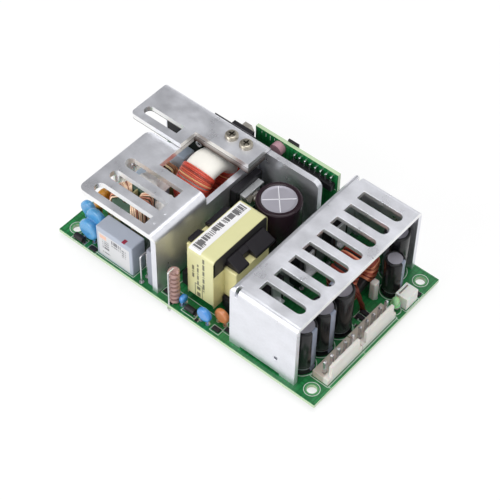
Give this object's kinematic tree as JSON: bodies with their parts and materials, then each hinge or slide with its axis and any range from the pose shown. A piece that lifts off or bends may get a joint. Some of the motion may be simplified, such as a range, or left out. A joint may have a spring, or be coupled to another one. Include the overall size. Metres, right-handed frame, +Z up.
{
  "type": "open frame power supply",
  "caption": "Open frame power supply on a bare green circuit board: slotted bent aluminium heat sinks, transformer, chokes, capacitors and pin connectors along one end.",
  "frame": {"origin": "centre of the four mounting holes, at the underside of the circuit board", "axes": "+X along the board towards the output connectors, +Y towards the rear heat sink, +Z up through the mounting holes"},
  "size_m": [0.127, 0.0769, 0.0392],
  "materials": {
    "board_green": "solder mask",
    "solder": "bright",
    "sheet_aluminium": "mill finish",
    "plated_steel": "plated",
    "tinned_wire": "bright",
    "black_moulding": "matt",
    "grey_moulding": "satin",
    "pale_moulding": "satin",
    "white_moulding": "satin",
    "blue_coating": "gloss",
    "orange_coating": "gloss",
    "ochre_coating": "gloss",
    "dark_coating": "gloss",
    "green_ferrite": "satin",
    "cream_ferrite": "satin",
    "dark_ferrite": "matt",
    "copper_wire": "enamelled",
    "red_copper_wire": "enamelled",
    "brown_wire": "enamelled",
    "yellow_tape": "satin",
    "label_paper": "matt",
    "silicone": "satin",
    "can_aluminium": "satin",
    "purple_sleeve": "gloss",
    "grey_sleeve": "gloss",
    "glass_tube": "gloss",
    "pale_green_lens": "clear",
    "grey_insulator": "matt"
  },
  "bodies": {
    "root": {"main_board": "board_green", "solder_joints": "solder", "input_heatsink": "sheet_aluminium", "rear_heatsink": "sheet_aluminium", "output_heatsink": "sheet_aluminium", "arm_screws": "plated_steel", "device_screws": "plated_steel", "transistor_clip": "plated_steel", "rectifier_clips": "plated_steel", "device_legs": "tinned_wire", "connector_pins": "tinned_wire", "control_pins": "tinned_wire", "jumper_wire": "tinned_wire", "lamp_leads": "tinned_wire", "rod_choke_lead": "tinned_wire", "switch_transistor": "black_moulding", "rear_rectifier": "black_moulding", "output_rectifiers": "black_moulding", "bridge_rectifier": "black_moulding", "transformer_bobbin": "black_moulding", "control_header": "black_moulding", "control_chips": "black_moulding", "axial_diodes": "black_moulding", "surface_parts": "black_moulding", "choke_stands": "pale_moulding", "line_capacitors": "grey_moulding", "film_capacitor": "grey_moulding", "output_connectors": "white_moulding", "inlet_connector": "white_moulding", "aux_connector": "white_moulding", "output_resistor": "pale_moulding", "line_disc_capacitors": "blue_coating", "ceramic_capacitors": "blue_coating", "snubber_capacitor": "orange_coating", "surge_varistor": "ochre_coating", "thermistor": "dark_coating", "line_choke_core": "green_ferrite", "output_choke_core": "green_ferrite", "filter_choke_core": "dark_ferrite", "boost_choke_core": "cream_ferrite", "transformer_core": "dark_ferrite", "line_choke_winding": "copper_wire", "filter_choke_winding": "copper_wire", "boost_choke_winding": "red_copper_wire", "output_choke_winding": "red_copper_wire", "rod_choke": "brown_wire", "core_tape": "yellow_tape", "transformer_winding": "yellow_tape", "transformer_label": "label_paper", "silicone_adhesive": "silicone", "bulk_capacitor": "can_aluminium", "output_capacitors": "can_aluminium", "control_capacitor": "brown_wire", "bulk_sleeve": "purple_sleeve", "output_sleeves": "grey_sleeve", "fuse": "glass_tube", "status_lamp": "pale_green_lens", "rear_insulator": "grey_insulator", "control_board": "board_green"}
  },
  "joints": []
}
